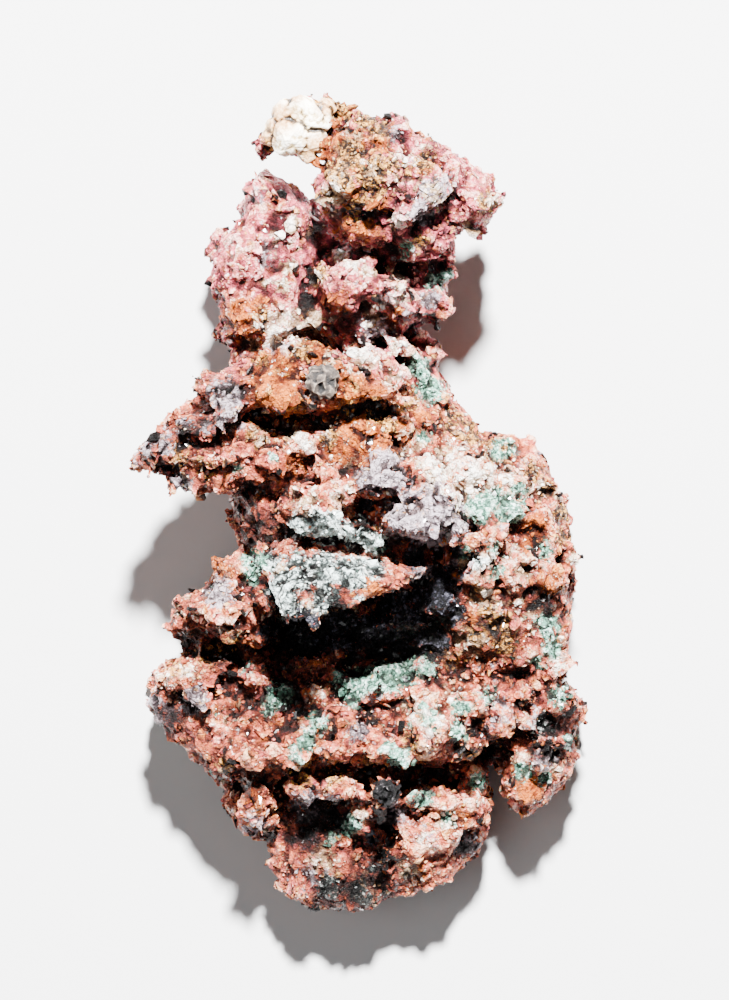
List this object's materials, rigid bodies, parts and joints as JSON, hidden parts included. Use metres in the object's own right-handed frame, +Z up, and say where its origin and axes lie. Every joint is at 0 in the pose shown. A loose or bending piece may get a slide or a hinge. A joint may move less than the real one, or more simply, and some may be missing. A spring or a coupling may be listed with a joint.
{
  "type": "native copper nugget",
  "caption": "Hackly, branching lump of native copper lying on its back, with an overhanging shelf, a side arm and a lump of pale calcite crystals in its tip.",
  "frame": {"origin": "on the surface that the nugget lies on, under the middle of its outline", "axes": "+Z up from that surface, +Y along the nugget from its tail to its calcite tip, +X to its right as seen from above"},
  "size_m": [0.0224, 0.04, 0.0146],
  "materials": {
    "native_copper": "dull, broken and crusted",
    "calcite": "glassy flat faces",
    "grey_stone": "dull",
    "black_mineral": "half metallic"
  },
  "bodies": {
    "root": {"copper_nugget": "native_copper", "calcite_crystals": "calcite", "grey_pebble": "grey_stone", "black_grain": "black_mineral"}
  },
  "joints": []
}
